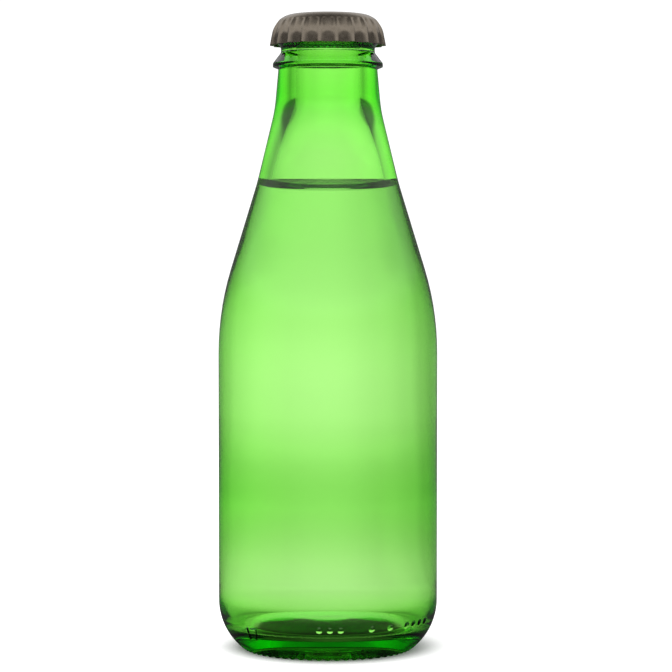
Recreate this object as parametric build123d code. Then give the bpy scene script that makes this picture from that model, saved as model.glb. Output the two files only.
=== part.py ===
from build123d import *
from math import asin, atan2, cos, degrees, pi, radians, sin, sqrt, tan
import os

# A small green glass bottle of clear drink, closed by a crimped crown cap with a soft liner.
# Millimetres, +Z up. The origin is on the table under the bottle's axis, and -Y is the front.
# Every turned outline is drawn as (radius, height) in the XZ plane and turned about Z.

# Glass: overall sizes and walls
glass_height = 155.5
body_diameter = 54.1
mouth_bore = 16.0
body_wall = 2.2
neck_wall = 4.2
bead_wall = 5.2

# Glass: shoulder and neck, drawn as straight runs joined by arcs
shoulder_corner_below_lip = 71.8
shoulder_radius = 71.0
inner_shoulder_drop = 3.04
inner_shoulder_radius = 68.0
cone_top_below_lip = 40.4
cone_top_flare = 5.25
cone_top_radius = 60.0
neck_foot_below_lip = 22.5
neck_foot_flare = 0.9
neck_foot_radius = 34.0
inner_neck_below_lip = 19.75
inner_neck_radius = 50.0

# Glass: heel, bearing ring and hollow underside
knurl_height = 0.35
heel_inset = 5.7
heel_corner_height = 5.25
heel_radius = 15.0
bearing_width = 2.95
bearing_edge_radius = 1.2
punt_depth = 3.0
punt_corner_share = 0.4
punt_arc_share = 0.9
base_thickness = 4.0
inner_heel_radius = 12.0

# Glass: crown finish, from the lip down
finish_height = 12.5
lip_corner_inset = 1.05
lip_radius = 3.2
lip_inner_radius = 0.7
bead_top_below_lip = 4.2
bead_depth = 1.3
bead_radius = 0.8
waist_inset = 1.65
waist_top_below_lip = 7.2
waist_foot_below_lip = 8.5
waist_radius = 1.2
ring_reach = 1.35
ring_top_below_lip = 11.1
ring_edge_depth = 0.9
ring_top_radius = 0.5
ring_lower_radius = 0.2
ring_root_radius = 0.3

# Glass: knurled bars that it stands on, mould dots and mould number
knurl_count = 60
knurl_length = 2.0
knurl_foot_width = 0.6
knurl_root_width = 1.2
dot_height = 8.3
dot_diameter = 1.5
dot_relief = 0.36
dot_pitch_angle = 5.57
first_dot_angle = -4.4
dot_steps = (0, 1, 2, 5, 7, 9, 10, 11, 12)
number_angle = -45.1
number_height = 6.1
digit_height = 3.6
digit_width = 1.5
digit_gap = 0.7
stroke_width = 0.5
stroke_relief = 0.3

# Crown cap
cap_sheet = 0.24
cap_height = 7.6
cap_above_glass = 0.9
cap_corner_radius = 5.6
skirt_angle = 11.0
flute_count = 21
flute_radius = 2.4
first_flute_angle = 0.4
flute_tip_below_top = 3.4
flute_bend_below_top = 4.8
flute_tip_lean = 0.34
flute_clearance = 0.1
ridge_clearance = 0.47

# Cap liner
liner_film = 0.3
liner_ring_inset = 0.6
liner_edge_inset = 2.2
liner_bond_gap = 0.02
liner_seat_gap = 0.05

# Drink
drink_below_lip = 41.0
drink_gap = 0.04
meniscus_height = 1.8
meniscus_radius = 2.1

# Cuts run past what they cut, and fused details are rooted in what carries them
overrun = 2.0
root = 0.6

# Places worked out from the sizes
body_radius = body_diameter / 2
bore_radius = mouth_bore / 2
seat_height = knurl_height
neck_top = glass_height - finish_height
neck_radius = bore_radius + neck_wall
neck_foot = glass_height - neck_foot_below_lip
cone_top = glass_height - cone_top_below_lip
cone_top_outside = neck_radius + cone_top_flare
shoulder_corner_height = glass_height - shoulder_corner_below_lip
wall_radius = body_radius - body_wall
inner_shoulder = shoulder_corner_height - inner_shoulder_drop
inner_neck = glass_height - inner_neck_below_lip
inner_cone_angle = atan2(wall_radius - bore_radius, inner_neck - inner_shoulder)
heel_foot_radius = body_radius - heel_inset
bearing_inner_radius = heel_foot_radius - bearing_width
bearing_middle_radius = heel_foot_radius - bearing_width / 2
heel_angle = atan2(heel_inset, heel_corner_height - seat_height)
heel_arc_top = heel_corner_height + heel_radius * tan(heel_angle / 2)
punt_top = seat_height + punt_depth
punt_corner = bearing_inner_radius * punt_corner_share
punt_slope = atan2(punt_depth, bearing_inner_radius - punt_corner)
punt_radius = punt_corner * punt_arc_share / tan(punt_slope / 2)
floor_height = punt_top + base_thickness
bead_outside = bore_radius + bead_wall
lip_corner = bead_outside - lip_corner_inset
bead_top = glass_height - bead_top_below_lip
cap_top = glass_height + cap_above_glass
cap_rim = cap_top - cap_height
drink_level = glass_height - drink_below_lip
skirt_lean = radians(skirt_angle)
skirt_top = cap_top - cap_corner_radius * (1 - sin(skirt_lean))
ridge_outside = bead_outside + ridge_clearance + cap_sheet
skirt_top_radius = ridge_outside - (skirt_top - bead_top) * tan(skirt_lean)
cap_flat_radius = skirt_top_radius - cap_corner_radius * cos(skirt_lean)


def turned(start, corners, end):
    """Solid turned about Z from a chain of rounded corners that starts and ends on the axis."""
    points = [start] + [point for point, rounding in corners] + [end]
    with BuildPart() as part:
        with BuildSketch(Plane.XZ):
            with BuildLine():
                FilletPolyline(*points, radius=[rounding for point, rounding in corners])
                Line(end, start)
            make_face()
        revolve(axis=Axis.Z)
    return part.part


def around(angle, radius, height=0.0):
    """Place on a circle about Z, at an angle in degrees from the front towards +X, facing out."""
    return Rot(0, 0, angle - 90) * Pos(radius, 0, height)


def cavity_corners(gap):
    """Corners of the bottle's inside, from the floor up, moved inwards by a gap."""
    lower = gap * tan(inner_cone_angle / 2)
    return [
        ((wall_radius - gap, floor_height + gap), inner_heel_radius - gap),
        ((wall_radius - gap, inner_shoulder - lower), inner_shoulder_radius - gap),
        ((bore_radius - gap, inner_neck - lower), inner_neck_radius + gap),
    ]


def finish_corners():
    """Corners of the crown finish, from the neck's top to the lip's inner edge."""
    waist = bead_outside - waist_inset
    ring = neck_radius + ring_reach
    return [
        ((neck_radius, neck_top), ring_root_radius),
        ((ring, glass_height - ring_top_below_lip - ring_edge_depth), ring_lower_radius),
        ((ring, glass_height - ring_top_below_lip), ring_top_radius),
        ((waist, glass_height - waist_foot_below_lip), waist_radius),
        ((waist, glass_height - waist_top_below_lip), waist_radius),
        ((bead_outside, bead_top - bead_depth), bead_radius),
        ((bead_outside, bead_top), bead_radius),
        ((lip_corner, glass_height), lip_radius),
        ((bore_radius, glass_height), lip_inner_radius),
    ]


def heel_surface(height):
    """Radius of the heel's arc at a height, and how far its face looks down, in degrees."""
    drop = heel_arc_top - height
    radius = body_radius - heel_radius + sqrt(heel_radius**2 - drop**2)
    return radius, degrees(asin(drop / heel_radius))


def knurl_bars():
    """Flat-footed radial bars on the bearing ring."""
    foot, side = knurl_foot_width / 2, knurl_root_width / 2
    top = seat_height + root
    section = Polyline((-foot, 0), (foot, 0), (side, seat_height), (side, top), (-side, top),
                       (-side, seat_height), close=True)
    bar = extrude(make_face(Plane.YZ * section), amount=knurl_length / 2, both=True)
    turn = 360 / knurl_count
    return [around(turn * step, bearing_middle_radius) * bar for step in range(knurl_count)]


def mould_dots():
    """Shallow domes in a row round the heel."""
    half = dot_diameter / 2
    ball = (half**2 + dot_relief**2) / (2 * dot_relief)
    radius, tilt = heel_surface(dot_height)
    dome = Pos(dot_relief - ball, 0, 0) * Sphere(ball)
    return [
        around(first_dot_angle + dot_pitch_angle * step, radius, dot_height) * Rot(0, tilt, 0) * dome
        for step in dot_steps
    ]


def stroke(start, end):
    """Straight raised stroke between two points on the face of the number."""
    run, rise = end[0] - start[0], end[1] - start[1]
    middle = Pos(0, (start[0] + end[0]) / 2, (start[1] + end[1]) / 2)
    length = sqrt(run**2 + rise**2) + stroke_width
    bar = Pos((stroke_relief - root) / 2, 0, 0) * Box(stroke_relief + root, length, stroke_width)
    return middle * Rot(degrees(atan2(rise, run)), 0, 0) * bar


def mould_number():
    """Plain mould number low on the heel: a one and a seven."""
    radius, tilt = heel_surface(number_height)
    high = (digit_height - stroke_width) / 2
    one_middle = -(digit_width + digit_gap) / 2
    seven_left = digit_gap / 2
    seven_right = seven_left + digit_width
    flag = digit_width / 3
    strokes = [
        stroke((one_middle, -high), (one_middle, high)),
        stroke((one_middle - flag, high - flag), (one_middle, high)),
        stroke((seven_left, high), (seven_right, high)),
        stroke((seven_right, high), (seven_left + flag, -high)),
    ]
    face = around(number_angle, radius, number_height) * Rot(0, tilt, 0)
    return [face * line for line in strokes]


def glass_bottle():
    """The bottle: one piece of pressed and blown glass with its crown finish."""
    outer = [
        ((punt_corner, punt_top), punt_radius),
        ((bearing_inner_radius, seat_height), bearing_edge_radius),
        ((heel_foot_radius, seat_height), bearing_edge_radius),
        ((body_radius, heel_corner_height), heel_radius),
        ((body_radius, shoulder_corner_height), shoulder_radius),
        ((cone_top_outside, cone_top), cone_top_radius),
        ((neck_radius + neck_foot_flare, neck_foot), neck_foot_radius),
    ]
    inner = list(reversed(cavity_corners(0)))
    shell = turned((0, punt_top), outer + finish_corners() + inner, (0, floor_height))
    return shell + knurl_bars() + mould_dots() + mould_number()


def clear_drink():
    """The drink: fills the inside up to its level and creeps up the glass as a meniscus."""
    contact = drink_level + meniscus_height
    reach = sqrt(meniscus_radius**2 - (meniscus_radius - meniscus_height) ** 2)
    contact_radius = wall_radius - (contact - inner_shoulder) * tan(inner_cone_angle)
    flat_radius = contact_radius - drink_gap - reach
    centre_height = drink_level + meniscus_radius
    corners = cavity_corners(drink_gap)
    mouth = bore_radius - drink_gap
    filled = turned((0, floor_height + drink_gap), corners + [((mouth, glass_height), 0)],
                    (0, glass_height))
    with BuildPart() as air:
        with BuildSketch(Plane.XZ):
            with BuildLine():
                Line((0, drink_level), (flat_radius, drink_level))
                CenterArc((flat_radius, centre_height), meniscus_radius, -90, 90)
                Line((flat_radius + meniscus_radius, centre_height),
                     (flat_radius + meniscus_radius, glass_height + overrun))
                Line((flat_radius + meniscus_radius, glass_height + overrun),
                     (0, glass_height + overrun))
                Line((0, glass_height + overrun), (0, drink_level))
            make_face()
        revolve(axis=Axis.Z)
    return filled - air.part


def cap_form(inset, foot):
    """Unfluted crown, moved inwards by an inset, from a foot height to its flat top."""
    centre_height = cap_top - cap_corner_radius
    arc_radius = cap_corner_radius - inset
    arc_foot = (cap_flat_radius + arc_radius * cos(skirt_lean),
                centre_height + arc_radius * sin(skirt_lean))
    foot_radius = arc_foot[0] + (arc_foot[1] - foot) * tan(skirt_lean)
    with BuildPart() as form:
        with BuildSketch(Plane.XZ):
            with BuildLine():
                Line((0, foot), (foot_radius, foot))
                Line((foot_radius, foot), arc_foot)
                CenterArc((cap_flat_radius, centre_height), arc_radius, skirt_angle, 90 - skirt_angle)
                Line((cap_flat_radius, cap_top - inset), (0, cap_top - inset))
                Line((0, cap_top - inset), (0, foot))
            make_face()
        revolve(axis=Axis.Z)
    return form.part


def flutes(inset):
    """Round scoops that crimp the skirt, made larger by the inset on its inside."""
    radius = flute_radius + inset
    bend = cap_top - flute_bend_below_top
    tip = cap_top - flute_tip_below_top
    foot = cap_rim - overrun
    axis_radius = bead_outside + flute_clearance + cap_sheet + flute_radius
    lean = atan2(flute_tip_lean, tip - bend)
    upright = Cylinder(radius, bend - foot, align=(Align.CENTER, Align.CENTER, Align.MAX))
    leaning = Cylinder(radius, (tip - bend) / cos(lean), align=(Align.CENTER, Align.CENTER, Align.MIN))
    scoop = upright + Sphere(radius) + Rot(0, -degrees(lean), 0) * leaning
    scoop += Pos(-flute_tip_lean, 0, tip - bend) * Sphere(radius)
    turn = 360 / flute_count
    return [around(first_flute_angle + turn * step, axis_radius, bend) * scoop
            for step in range(flute_count)]


def crown_cap():
    """The crown cap: thin tinplate with a fluted skirt, open below."""
    outside = cap_form(0, cap_rim) - flutes(0)
    inside = cap_form(cap_sheet, cap_rim - overrun / 2) - flutes(cap_sheet)
    return outside - inside


def cap_liner():
    """The liner: a film under the cap's top with a thicker sealing ring over the lip."""
    gap = cap_sheet + liner_bond_gap
    top = cap_top - gap
    outer_arc = cap_corner_radius - gap
    centre_height = cap_top - cap_corner_radius
    outer_radius = bead_outside - liner_edge_inset
    outer_height = centre_height + sqrt(outer_arc**2 - (outer_radius - cap_flat_radius) ** 2)
    lip_turn = pi / 2 - atan2(bead_outside - lip_corner, bead_top_below_lip)
    lip_flat = lip_corner - lip_radius * tan(lip_turn / 2)
    seat_arc = lip_radius + liner_seat_gap
    seat_height_out = glass_height - lip_radius + sqrt(seat_arc**2 - (outer_radius - lip_flat) ** 2)
    seat = glass_height + liner_seat_gap
    ring_bore = bore_radius + liner_ring_inset
    with BuildPart() as liner:
        with BuildSketch(Plane.XZ):
            with BuildLine():
                Line((0, top), (cap_flat_radius, top))
                RadiusArc((cap_flat_radius, top), (outer_radius, outer_height), outer_arc)
                Line((outer_radius, outer_height), (outer_radius, seat_height_out))
                RadiusArc((outer_radius, seat_height_out), (lip_flat, seat), -seat_arc)
                Line((lip_flat, seat), (ring_bore, seat))
                Line((ring_bore, seat), (ring_bore, top - liner_film))
                Line((ring_bore, top - liner_film), (0, top - liner_film))
                Line((0, top - liner_film), (0, top))
            make_face()
        revolve(axis=Axis.Z)
    return liner.part


pieces = {
    "glass_bottle": glass_bottle(),
    "clear_drink": clear_drink(),
    "crown_cap": crown_cap(),
    "cap_liner": cap_liner(),
}

os.makedirs("parts", exist_ok=True)
for name, piece in pieces.items():
    export_step(piece, f"parts/{name}.step")
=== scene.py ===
"""A small green glass bottle of clear drink under a crimped crown cap, on a white table.

Metres throughout. The bottle's axis is Z, the table is at height 0, and the front looks along -Y.
"""
from math import atan2, cos, degrees, hypot, pi, radians, sin, sqrt, tan

import bpy
from mathutils import Matrix, Vector


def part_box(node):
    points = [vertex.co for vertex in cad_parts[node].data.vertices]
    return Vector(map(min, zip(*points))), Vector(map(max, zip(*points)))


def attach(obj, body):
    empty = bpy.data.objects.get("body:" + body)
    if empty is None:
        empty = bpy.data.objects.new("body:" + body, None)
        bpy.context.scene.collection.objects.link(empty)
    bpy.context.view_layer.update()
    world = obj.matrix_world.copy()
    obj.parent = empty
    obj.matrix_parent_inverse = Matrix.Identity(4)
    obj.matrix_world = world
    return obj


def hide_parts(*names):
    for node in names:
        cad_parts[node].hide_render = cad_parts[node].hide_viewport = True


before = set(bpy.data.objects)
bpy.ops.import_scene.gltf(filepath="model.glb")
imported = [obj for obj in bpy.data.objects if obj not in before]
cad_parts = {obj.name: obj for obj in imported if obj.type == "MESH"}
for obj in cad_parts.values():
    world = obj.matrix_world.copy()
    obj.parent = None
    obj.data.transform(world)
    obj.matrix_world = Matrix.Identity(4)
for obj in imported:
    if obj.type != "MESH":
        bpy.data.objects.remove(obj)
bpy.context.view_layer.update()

MM = 0.001
low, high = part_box("glass_bottle")
cap_low, cap_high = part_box("crown_cap")
LIP = high.z
BODY_RADIUS = high.x
CAP_TOP = cap_high.z
CAP_RIM = cap_low.z

# Glass outline, the same corners as the solid bottle's, from the lip down and from the table up
BORE = 8.0 * MM
NECK = 12.2 * MM
BEAD = 13.2 * MM
KNURL = 0.35 * MM
HEEL_FOOT = BODY_RADIUS - 5.7 * MM
HEEL_CORNER = 5.25 * MM
HEEL_ROUND = 15.0 * MM
RING_INSIDE = HEEL_FOOT - 2.95 * MM
RING_MIDDLE = 19.875 * MM
PUNT_TOP = KNURL + 5.4 * MM
FLOOR_MIDDLE = PUNT_TOP + 2.6 * MM
FLOOR_EDGE = PUNT_TOP - 0.7 * MM
BARS = 60
TURNS = 4 * BARS

# Wall thickness of the blown glass, as (height, thickness) in millimetres, with its settle wave
WALLS = [(18.0, 2.3), (24.0, 2.65), (31.0, 3.2), (38.5, 3.55), (46.0, 3.2), (56.0, 2.65), (66.0, 2.5),
         (76.0, 2.65), (88.0, 3.0), (103.0, 3.3), (113.0, 3.4), (122.0, 3.35), (128.0, 3.7),
         (132.0, 4.2), (136.0, 4.75), (142.5, 4.75)]

# Raised marks on the heel: dots and a plain number
DOT_HEIGHT = 8.3 * MM
DOT_RADIUS = 0.9 * MM
DOT_RELIEF = 0.36 * MM
DOT_ANGLES = [-4.4 + 5.57 * step for step in (0, 1, 2, 5, 7, 9, 10, 11, 12)]
NUMBER_ANGLE = -45.1
NUMBER_HEIGHT = 6.1 * MM
STROKE_HALF = 0.38 * MM
STROKE_RELIEF = 0.3 * MM

# Crown, with the radius of its valleys as (height, radius) in millimetres
BEAD_TOP = LIP - 4.2 * MM
SHEET = 0.24 * MM
CAP_ROUND = 5.6 * MM
SKIRT_LEAN = 11.0
FLUTES = 21
FIRST_FLUTE = 0.4
VALLEYS = [(148.8, 13.52), (151.4, 13.5), (152.2, 13.32), (153.0, 13.08), (153.7, 12.78), (154.4, 12.42),
           (155.2, 12.0)]

# Drink
DRINK_LEVEL = LIP - 43.7 * MM
DRINK_OVERLAP = 0.06 * MM
CAPILLARY = 2.6 * MM


# Small helpers

def linear(hex_colour, alpha=1.0):
    """Linear colour from an sRGB hex value."""
    out = []
    for shift in (16, 8, 0):
        c = (hex_colour >> shift & 255) / 255
        out.append(c / 12.92 if c <= 0.04045 else ((c + 0.055) / 1.055) ** 2.4)
    return (*out, alpha)


def node(tree, kind, links=(), **values):
    """Adds a node: attributes or socket values by name, then links as (socket, other node, output)."""
    made = tree.nodes.new(kind)
    for name, value in values.items():
        socket = made.inputs.get(name.replace("_", " "))
        if hasattr(made, name):
            setattr(made, name, value)
        elif socket is not None:
            socket.default_value = value
    for socket, other, output in links:
        tree.links.new(other.outputs[output], made.inputs[socket])
    return made


def material(name):
    """An empty material with its output node."""
    made = bpy.data.materials.new(name)
    made.use_nodes = True
    made.node_tree.nodes.clear()
    return made, made.node_tree, made.node_tree.nodes.new("ShaderNodeOutputMaterial")


def rounded(corners, steps=10):
    """Points along straight runs whose corners are rounded, each corner given as ((r, z), radius)."""
    spots = [Vector(point) for point, radius in corners]
    out = [spots[0]]
    for before, at, after, (point, radius) in zip(spots, spots[1:], spots[2:], corners[1:-1]):
        u, v = (before - at).normalized(), (after - at).normalized()
        half = u.angle(v) / 2
        if radius == 0:
            out.append(at)
            continue
        centre = at + (u + v).normalized() * (radius / sin(half))
        start = at + u * (radius / tan(half)) - centre
        sweep = start.angle_signed(at + v * (radius / tan(half)) - centre)
        count = max(3, int(steps * abs(sweep) / radians(30)) + 2)
        for step in range(count + 1):
            arm = start.copy()
            arm.rotate(Matrix.Rotation(-sweep * step / count, 2))
            out.append(centre + arm)
    out.append(spots[-1])
    return out


def divided(points, longest):
    """The same points with long runs divided, so that a turned wall has even faces."""
    out = [points[0]]
    for a, b in zip(points, points[1:]):
        parts = max(1, round((b - a).length / longest))
        out += [a.lerp(b, step / parts) for step in range(1, parts + 1)]
    return out


def turned(name, points, turns=TURNS):
    """A closed solid of revolution turned about Z from an outline that starts and ends on the axis."""
    mesh = bpy.data.meshes.new(name)
    mesh.from_pydata([(p.x, 0, p.y) for p in points], [(i, i + 1) for i in range(len(points) - 1)], [])
    piece = bpy.data.objects.new(name, mesh)
    bpy.context.scene.collection.objects.link(piece)
    bpy.ops.object.select_all(action="DESELECT")
    piece.select_set(True)
    bpy.context.view_layer.objects.active = piece
    turn = piece.modifiers.new("turn", "SCREW")
    turn.angle = 2 * pi
    turn.steps = turn.render_steps = turns
    turn.use_merge_vertices = True
    turn.merge_threshold = 1e-6
    bpy.ops.object.modifier_apply(modifier="turn")
    bpy.ops.object.mode_set(mode="EDIT")
    bpy.ops.mesh.select_all(action="SELECT")
    bpy.ops.mesh.remove_doubles(threshold=1e-6)
    bpy.ops.mesh.normals_make_consistent(inside=False)
    bpy.ops.object.mode_set(mode="OBJECT")
    bpy.ops.object.shade_smooth_by_angle(angle=radians(40))
    return piece


# Outlines

def outside_corners():
    """Corners of the outside of the glass, from the punt's middle round to the lip's inner edge."""
    return [
        ((0, PUNT_TOP), 0),
        ((RING_INSIDE - 3.2 * MM, PUNT_TOP - 0.5 * MM), 4.0 * MM),
        ((RING_INSIDE, KNURL), 1.2 * MM),
        ((HEEL_FOOT, KNURL), 1.2 * MM),
        ((BODY_RADIUS, HEEL_CORNER), HEEL_ROUND),
        ((BODY_RADIUS, LIP - 71.8 * MM), 71.0 * MM),
        ((NECK + 5.25 * MM, LIP - 40.4 * MM), 60.0 * MM),
        ((NECK + 0.9 * MM, LIP - 22.5 * MM), 34.0 * MM),
        ((NECK, LIP - 12.5 * MM), 0.3 * MM),
        ((NECK + 1.35 * MM, LIP - 12.0 * MM), 0.2 * MM),
        ((NECK + 1.35 * MM, LIP - 11.1 * MM), 0.5 * MM),
        ((BEAD - 1.65 * MM, LIP - 8.5 * MM), 1.2 * MM),
        ((BEAD - 1.65 * MM, LIP - 7.2 * MM), 1.2 * MM),
        ((BEAD, LIP - 5.5 * MM), 0.8 * MM),
        ((BEAD, LIP - 4.2 * MM), 0.8 * MM),
        ((BEAD - 1.05 * MM, LIP), 3.2 * MM),
        ((BORE, LIP), 0.7 * MM),
        ((BORE, LIP - 2 * MM), 0),
    ]


def between(table, x):
    """Value at x on a smooth curve through a table of (x, value) rows."""
    if x <= table[0][0]:
        return table[0][1]
    if x >= table[-1][0]:
        return table[-1][1]
    slopes = [0.0] + [(after[1] - before[1]) / (after[0] - before[0])
                      for before, after in zip(table, table[2:])] + [0.0]
    row = max(i for i in range(len(table) - 1) if table[i][0] <= x)
    (x0, v0), (x1, v1) = table[row], table[row + 1]
    run, t = x1 - x0, (x - x0) / (x1 - x0)
    bend = t * (1 - t)
    return (v0 + (v1 - v0) * t * t * (3 - 2 * t)
            + run * bend * ((1 - t) * slopes[row] - t * slopes[row + 1]))


def outside_radius(height):
    """Radius of the plain outside of the body and neck at a height."""
    for low_end, high_end in zip(PLAIN_OUTSIDE, PLAIN_OUTSIDE[1:]):
        if low_end.y <= height <= high_end.y:
            return low_end.lerp(high_end, (height - low_end.y) / (high_end.y - low_end.y)).x
    return PLAIN_OUTSIDE[-1].x


PLAIN_OUTSIDE = rounded(outside_corners()[3:9])


def cavity(grow):
    """Outline of the inside of the bottle, from the floor's middle to the bore, grown into the wall."""
    start = WALLS[0][0]
    corner = BODY_RADIUS - WALLS[0][1] * MM
    points = rounded([
        ((0, FLOOR_MIDDLE - grow), 0),
        ((9.0 * MM, FLOOR_MIDDLE - grow), 22.0 * MM),
        ((20.6 * MM, FLOOR_EDGE - grow), 5.0 * MM),
        ((corner + grow, 11.5 * MM - grow), 9.0 * MM),
        ((corner + grow, start * MM), 0),
    ])
    height = start
    while height < WALLS[-1][0] - 1:
        height += 1.0
        inner = outside_radius(height * MM) - between(WALLS, height) * MM
        points.append(Vector((max(inner, BORE) + grow, height * MM)))
    return points


def glass_outline():
    """Outline of the glass, from the punt's middle round the outside to the floor's middle."""
    outside = divided(rounded(outside_corners()), 3 * MM)
    return outside + cavity(0)[::-1]


def drink_outline():
    """Outline of the drink: the inside of the bottle up to its meniscus, which creeps up the wall as
    still water does, then the level top."""
    points = divided(cavity(DRINK_OVERLAP), 2 * MM)
    climb = sqrt(2) * CAPILLARY
    contact = DRINK_LEVEL + climb * 0.985
    wall = [p for p in points if p.y < contact - 0.3 * MM]
    below = wall[-1]
    above = next(p for p in points if p.y > contact)
    edge = below.lerp(above, (contact - below.y) / (above.y - below.y))
    creep, out, before = [], 0.0, None
    for step in range(1, 29):
        slope = radians(86) * (1 - step / 29) ** 1.3
        rise = 2 * CAPILLARY * sin(slope / 2)
        if before is not None:
            out += (before[1] - rise) / tan((before[0] + slope) / 2)
        creep.append(Vector((edge.x - out, DRINK_LEVEL + rise)))
        before = (slope, rise)
    return wall + [edge] + creep[1:] + [Vector((0, DRINK_LEVEL))]


# Materials

def green_glass():
    """Soda-lime bottle glass coloured green with chromium and iron, smooth from the mould and fire."""
    made, tree, out = material("green_bottle_glass")
    place = node(tree, "ShaderNodeTexCoord")
    ripple = node(tree, "ShaderNodeTexNoise", [("Vector", place, "Object")], Scale=160.0, Detail=2.0)
    bump = node(tree, "ShaderNodeBump", [("Height", ripple, "Fac")], Strength=0.06, Distance=0.0002)
    skin = node(tree, "ShaderNodeBsdfPrincipled", [("Normal", bump, "Normal")],
                Base_Color=(1, 1, 1, 1), Roughness=0.0, IOR=1.52, Transmission_Weight=1.0)
    tint = node(tree, "ShaderNodeVolumeAbsorption", Color=linear(0xAFF938), Density=300.0)
    tree.links.new(skin.outputs[0], out.inputs["Surface"])
    tree.links.new(tint.outputs[0], out.inputs["Volume"])
    return made


def clear_water():
    """The drink: clear water, seen only by how it bends light."""
    made, tree, out = material("clear_drink_water")
    skin = node(tree, "ShaderNodeBsdfPrincipled", Base_Color=(1, 1, 1, 1), Roughness=0.0, IOR=1.333,
                Transmission_Weight=1.0)
    tree.links.new(skin.outputs[0], out.inputs["Surface"])
    return made


def tinplate():
    """Lacquered tinplate of the crown: rolled steel under tin, dull and slightly brown."""
    made, tree, out = material("lacquered_tinplate")
    place = node(tree, "ShaderNodeTexCoord")
    mottle = node(tree, "ShaderNodeTexNoise", [("Vector", place, "Object")], Scale=900.0, Detail=4.0)
    tone = node(tree, "ShaderNodeValToRGB", [("Fac", mottle, "Fac")])
    tone.color_ramp.elements[0].color = linear(0x857A6C)
    tone.color_ramp.elements[1].color = linear(0xAFA495)
    rough = node(tree, "ShaderNodeMapRange", [("Value", mottle, "Fac")], To_Min=0.2, To_Max=0.34)
    skin = node(tree, "ShaderNodeBsdfPrincipled", [("Base Color", tone, "Color"), ("Roughness", rough, "Result")],
                Metallic=1.0)
    tree.links.new(skin.outputs[0], out.inputs["Surface"])
    return made


def liner_compound():
    """The liner: pale moulded sealing compound."""
    made, tree, out = material("liner_compound")
    place = node(tree, "ShaderNodeTexCoord")
    mottle = node(tree, "ShaderNodeTexNoise", [("Vector", place, "Object")], Scale=700.0)
    tone = node(tree, "ShaderNodeValToRGB", [("Fac", mottle, "Fac")])
    tone.color_ramp.elements[0].color = linear(0xCFCFC6)
    tone.color_ramp.elements[1].color = linear(0xE2E2DA)
    skin = node(tree, "ShaderNodeBsdfPrincipled", [("Base Color", tone, "Color")], Roughness=0.45)
    tree.links.new(skin.outputs[0], out.inputs["Surface"])
    return made


# Pieces

def finish_piece(piece, body, node_name, look):
    piece.data.materials.clear()
    piece.data.materials.append(look)
    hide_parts(node_name)
    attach(piece, body)


def knurl(piece):
    """Draws the bearing ring down into sixty soft bars that the bottle stands on."""
    for vert in piece.data.vertices:
        reach = hypot(vert.co.x, vert.co.y)
        if vert.co.z > KNURL + 0.01 * MM or abs(reach - RING_MIDDLE) > 1.05 * MM:
            continue
        turn = degrees(atan2(vert.co.x, -vert.co.y)) * BARS / 360
        if abs(turn - round(turn)) < 0.2:
            vert.co.z = 0.0


def raise_marks(piece):
    """Raises the mould dots and the number from the heel, on faces first divided finely enough."""
    def spot(angle, height):
        reach = outside_radius(height)
        return Vector((reach * sin(radians(angle)), -reach * cos(radians(angle)), height))

    def on_heel(u, v):
        """A point of the number's face, u to the right and v up from its middle."""
        slant = 0.8
        height = NUMBER_HEIGHT + v * slant
        return spot(NUMBER_ANGLE + degrees(u / outside_radius(height)), height)

    dots = [spot(angle, DOT_HEIGHT) for angle in DOT_ANGLES]
    half = 1.55 * MM
    one, seven = -1.1 * MM, 0.35 * MM
    strokes = [((one, -half), (one, half)), ((one - 0.5 * MM, half - 0.5 * MM), (one, half)),
               ((seven, half), (seven + 1.5 * MM, half)),
               ((seven + 1.5 * MM, half), (seven + 0.5 * MM, -half))]
    lines = [(on_heel(*start), on_heel(*end)) for start, end in strokes]
    middle = on_heel(0, 0)
    for ring, cuts in ((2.9 * MM, 2), (2.6 * MM, 1), (2.3 * MM, 1)):
        pick_faces(piece, [(middle, ring)] + [(dot, ring * 0.45) for dot in dots])
        bpy.ops.mesh.subdivide(number_cuts=cuts)
        bpy.ops.object.mode_set(mode="OBJECT")
    mesh = piece.data
    lift = {}
    for vert in mesh.vertices:
        if vert.co.z > 11 * MM or vert.co.z < 2 * MM or vert.co.y > 0.01:
            continue
        away = min((vert.co - dot).length for dot in dots) / DOT_RADIUS
        if away < 1:
            lift[vert.index] = DOT_RELIEF * (1 - away * away) ** 1.5
        elif (vert.co - middle).length < 3.2 * MM:
            away = min(off_line(vert.co, *line) for line in lines) / STROKE_HALF
            if away < 1:
                lift[vert.index] = STROKE_RELIEF * (1 - away * away) ** 1.5
    normals = {index: mesh.vertices[index].normal.copy() for index in lift}
    for index, rise in lift.items():
        mesh.vertices[index].co += normals[index] * rise


def pick_faces(piece, balls):
    """Selects, in edit mode, the faces whose middles are within any of the balls."""
    bpy.ops.object.mode_set(mode="EDIT")
    bpy.ops.mesh.select_mode(type="FACE")
    bpy.ops.mesh.select_all(action="DESELECT")
    bpy.ops.object.mode_set(mode="OBJECT")
    for face in piece.data.polygons:
        low_front = 3 * MM < face.center.z < 11 * MM and face.center.y < 0.005
        face.select = low_front and any((face.center - middle).length < reach for middle, reach in balls)
    bpy.ops.object.mode_set(mode="EDIT")


def off_line(point, start, end):
    """Distance of a point from a straight stretch."""
    run = end - start
    share = max(0.0, min(1.0, (point - start).dot(run) / run.length_squared))
    return (point - start - run * share).length


bottle = turned("bottle_glass", glass_outline())
bottle.data.transform(Matrix.Rotation(radians(180 / TURNS), 4, "Z"))
knurl(bottle)
raise_marks(bottle)
finish_piece(bottle, "bottle", "glass_bottle", green_glass())

drink = turned("drink", drink_outline())
finish_piece(drink, "bottle", "clear_drink", clear_water())

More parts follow.
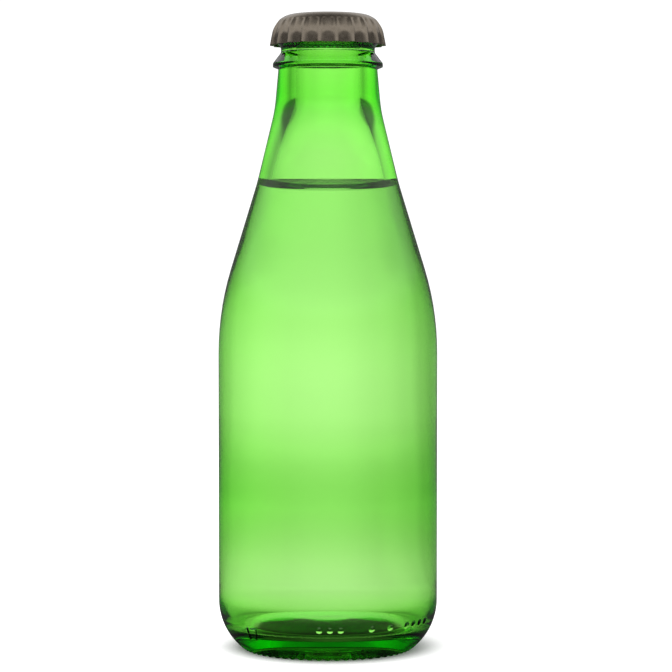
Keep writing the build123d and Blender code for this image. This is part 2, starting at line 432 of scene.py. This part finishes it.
def crown_outline():
    """Outline of the crown's thin sheet: its top, corner and leaning skirt, then back along the inside."""
    lean = tan(radians(SKIRT_LEAN))
    shoulder = BEAD + 0.71 * MM - (CAP_TOP - BEAD_TOP) * lean
    rim = BEAD + 0.71 * MM + (BEAD_TOP - CAP_RIM) * lean
    outside = [((0, CAP_TOP), 0), ((shoulder, CAP_TOP), CAP_ROUND), ((rim, CAP_RIM), 0.1 * MM),
               ((rim - SHEET, CAP_RIM), 0.1 * MM),
               ((shoulder - SHEET, CAP_TOP - SHEET), CAP_ROUND - SHEET), ((0, CAP_TOP - SHEET), 0)]
    return divided(rounded(outside), 0.35 * MM)


def crimp(piece):
    """Presses the skirt in between its ridges: wide valleys with arched tops and narrow ridges."""
    for vert in piece.data.vertices:
        reach = hypot(vert.co.x, vert.co.y)
        if vert.co.z > CAP_TOP - 1.0 * MM or reach < 11 * MM:
            continue
        turn = (degrees(atan2(vert.co.x, -vert.co.y)) - FIRST_FLUTE) * FLUTES / 360
        off = abs(turn - round(turn)) * 2
        wide = 1 - max(0.0, min(1.0, (off - 0.42) / 0.58))
        valley = wide * wide * (3 - 2 * wide)
        height = (vert.co.z / MM) + 1.1 * off * off
        inside = SHEET if on_inside(vert.co, reach) else 0.0
        press = valley * max(0.0, reach + inside - between(VALLEYS, height) * MM)
        vert.co.x *= (reach - press) / reach
        vert.co.y *= (reach - press) / reach


def on_inside(point, reach):
    """Whether a point of the crown's sheet is on its inner side."""
    drop = CAP_TOP - point.z
    lean = tan(radians(SKIRT_LEAN))
    middle = BEAD + (0.71 * MM) - (point.z - BEAD_TOP) * lean - SHEET / 2
    flat = BEAD + 0.71 * MM - (CAP_TOP - BEAD_TOP) * lean - CAP_ROUND * tan(radians(90 - SKIRT_LEAN) / 2)
    if drop > CAP_ROUND * (1 - sin(radians(SKIRT_LEAN))):
        return reach < middle
    return hypot(reach - flat, CAP_ROUND - drop) < CAP_ROUND - SHEET / 2


crown = turned("crown", crown_outline(), FLUTES * 16)
crimp(crown)
finish_piece(crown, "closure", "crown_cap", tinplate())
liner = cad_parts["cap_liner"]
liner.data.materials.clear()
liner.data.materials.append(liner_compound())


# Table, light and camera

def ramp(tree, source, output, stops):
    """A smooth curve of brightness against a value, as a grey colour ramp with (place, grey) stops."""
    made = tree.nodes.new("ShaderNodeValToRGB")
    made.color_ramp.interpolation = "EASE"
    while len(made.color_ramp.elements) < len(stops):
        made.color_ramp.elements.new(0.5)
    for element, (place, grey) in zip(made.color_ramp.elements, stops):
        element.position = place
        element.color = (grey, grey, grey, 1)
    tree.links.new(source.outputs[output], made.inputs["Fac"])
    return made


def side_share(tree, place, output):
    """How far to the right a direction points, from 0 to 1, and the brightness that it gives."""
    level = node(tree, "ShaderNodeVectorMath", [(0, place, output)], operation="MULTIPLY")
    level.inputs[1].default_value = (1, 1, 0)
    unit = node(tree, "ShaderNodeVectorMath", [(0, level, 0)], operation="NORMALIZE")
    split = node(tree, "ShaderNodeSeparateXYZ", [("Vector", unit, 0)])
    share = node(tree, "ShaderNodeMath", [(0, split, "X")], operation="MULTIPLY_ADD")
    share.inputs[1].default_value = 0.5
    share.inputs[2].default_value = 0.5
    return ramp(tree, share, 0, BY_SIDE)


def white_table():
    """A white table top that keeps the bottle's shadow on its cloth and reads white to the camera, with a glow
    that fades towards the foot as a painted shadow; to rays through the glass and in reflections it shows only
    painted light and shade, graded by distance from the axis and by side, with a painted dark shadow under the
    bottle, dimmed further in reflections.
    """
    bpy.ops.mesh.primitive_circle_add(vertices=128, radius=TABLE_RADIUS, fill_type="TRIFAN")
    table = bpy.context.object
    table.name = "table"
    made, tree, out = material("white_table")
    place = node(tree, "ShaderNodeTexCoord")
    reach = node(tree, "ShaderNodeVectorMath", [("Vector", place, "Object")], operation="LENGTH")
    share = node(tree, "ShaderNodeMath", [(0, reach, "Value")], operation="DIVIDE")
    share.inputs[1].default_value = TABLE_RADIUS
    root = node(tree, "ShaderNodeMath", [(0, share, 0)], operation="SQRT")
    path = node(tree, "ShaderNodeLightPath")
    # Camera glow: white that fades out towards the foot, a painted shadow over the cloth's real shadow.
    seen = ramp(tree, root, 0, TABLE_SEEN_PAINTED_SHADOW)
    # Painted light and shade for rays through the glass and in reflections, graded by distance from the axis,
    # with a painted dark shadow under the bottle.
    sent = ramp(tree, root, 0, TABLE_SENT_PAINTED_LIGHT_AND_SHADOW)
    # Painted light and shade by side on the table, with the world's side grading.
    across = side_share(tree, place, "Object")
    graded = node(tree, "ShaderNodeMath", [(0, sent, 0), (1, across, 0)], operation="MULTIPLY")
    cloth = node(tree, "ShaderNodeBsdfDiffuse", Color=linear(0xF2F2F2))
    glow = node(tree, "ShaderNodeEmission", [("Color", seen, 0)], Strength=1.0)
    lit = node(tree, "ShaderNodeAddShader", [(0, cloth, 0), (1, glow, 0)])
    # Reflections see the table's painted light dimmed further, a painted shade.
    dim = node(tree, "ShaderNodeMath", [(0, path, "Is Reflection Ray")], operation="MULTIPLY_ADD")
    dim.inputs[1].default_value = MIRRORED_TABLE_PAINTED_SHADE - 1
    dim.inputs[2].default_value = 1.0
    # The table glows with this painted light and shade in place of its lit cloth for rays through the glass and
    # in reflections.
    through = node(tree, "ShaderNodeEmission", [("Color", graded, 0), ("Strength", dim, 0)])
    bent = node(tree, "ShaderNodeMath", [(0, path, "Is Transmission Ray"), (1, path, "Is Glossy Ray")],
                operation="MAXIMUM")
    both = node(tree, "ShaderNodeMixShader", [("Fac", bent, 0), (1, lit, 0), (2, through, 0)])
    tree.links.new(both.outputs[0], out.inputs["Surface"])
    table.data.materials.append(made)


def white_world():
    """A white tent under a dark ceiling: white to the camera, graded to everything else."""
    world = bpy.data.worlds.new("white_tent")
    bpy.context.scene.world = world
    world.use_nodes = True
    tree = world.node_tree
    tree.nodes.clear()
    out = tree.nodes.new("ShaderNodeOutputWorld")
    place = node(tree, "ShaderNodeTexCoord")
    split = node(tree, "ShaderNodeSeparateXYZ", [("Vector", place, "Generated")])
    lift = node(tree, "ShaderNodeMath", [(0, split, "Z")], operation="MULTIPLY_ADD")
    lift.inputs[1].default_value = 0.5
    lift.inputs[2].default_value = 0.5
    up = ramp(tree, lift, 0, SKY_BY_HEIGHT)
    across = side_share(tree, place, "Generated")
    grade = node(tree, "ShaderNodeMath", [(0, up, 0), (1, across, 0)], operation="MULTIPLY")
    path = node(tree, "ShaderNodeLightPath")
    mirrored = ramp(tree, lift, 0, MIRRORED_BY_HEIGHT)
    gloss = node(tree, "ShaderNodeMath", [(0, path, "Is Glossy Ray"), (1, path, "Is Reflection Ray")],
                 operation="MINIMUM")
    kind = node(tree, "ShaderNodeMix", [(0, gloss, 0), (2, grade, 0), (3, mirrored, 0)])
    light = node(tree, "ShaderNodeMath", [(0, kind, 0), (1, path, "Is Camera Ray")], operation="MAXIMUM")
    sky = node(tree, "ShaderNodeBackground", [("Strength", light, 0)], Color=(1, 1, 1, 1))
    tree.links.new(sky.outputs[0], out.inputs["Surface"])


def lamp(name, place, aim, size, power):
    """A soft square lamp that lights surfaces but isn't itself seen through the glass."""
    data = bpy.data.lights.new(name, "AREA")
    data.size = size
    data.energy = power
    made = bpy.data.objects.new(name, data)
    made.location = place
    made.rotation_euler = (Vector(aim) - Vector(place)).to_track_quat("-Z", "Y").to_euler()
    made.visible_transmission = False
    made.visible_glossy = False
    bpy.context.scene.collection.objects.link(made)
    return made


def from_axis(metres):
    """Place on the table's ramps of a distance from the bottle's axis."""
    return sqrt(metres / TABLE_RADIUS)


TABLE_RADIUS = 3.0
# Camera glow by distance from the axis: none at the foot, a painted shadow, then the white table.
TABLE_SEEN_PAINTED_SHADOW = [(from_axis(0.018), 0.0), (from_axis(0.034), 0.85), (from_axis(0.06), 1.0)]
# Painted light and shade of the table for rays through the glass and in reflections, by distance from the axis: a
# painted dark shadow under the bottle, then graded brightness.
TABLE_SENT_PAINTED_LIGHT_AND_SHADOW = [(from_axis(0.021), 0.1), (from_axis(0.03), 0.42), (from_axis(0.05), 0.82), (from_axis(0.08), 0.96),
              (from_axis(0.2), 0.95), (from_axis(0.35), 0.87), (from_axis(0.48), 1.04), (from_axis(0.7), 1.1),
              (from_axis(1.5), 1.14), (from_axis(2.9), 1.12)]
SKY_BY_HEIGHT = [(0.0, 1.1), (0.55, 1.15), (0.58, 1.2), (0.66, 1.1), (0.72, 0.25), (1.0, 0.12)]
MIRRORED_BY_HEIGHT = [(0.0, 0.1), (0.58, 0.12), (0.68, 0.7), (0.8, 0.75), (0.9, 0.3), (1.0, 0.12)]
# Painted shade: how much dimmer the table's painted light is in reflections.
MIRRORED_TABLE_PAINTED_SHADE = 0.15
# Brightness by side: light for the world, painted light and shade for the table.
BY_SIDE = [(0.0, 0.85), (0.07, 0.6), (0.15, 0.44), (0.235, 0.6), (0.3, 0.78), (0.4, 0.93), (0.5, 1.0),
           (0.65, 1.04), (0.74, 0.97), (0.82, 0.8), (0.92, 0.55), (1.0, 0.85)]

white_table()
white_world()
lamp("top_lamp", (-0.25, -0.4, 0.9), (0, 0, 0.1), 1.1, 8.0)

EYE_HEIGHT = 0.1018
EYE_DISTANCE = 0.603
EYE_SIDE = 0.0020
LENS = 130.7
LOOK_DOWN = 2.33

camera_data = bpy.data.cameras.new("camera")
camera_data.lens = LENS
camera_data.sensor_width = 36
camera_data.clip_start = 0.01
camera = bpy.data.objects.new("camera", camera_data)
camera.location = (EYE_SIDE, -EYE_DISTANCE, EYE_HEIGHT)
camera.rotation_euler = (radians(90 - LOOK_DOWN), 0, 0)
bpy.context.scene.collection.objects.link(camera)
bpy.context.scene.camera = camera
bpy.context.scene.view_settings.view_transform = "Standard"
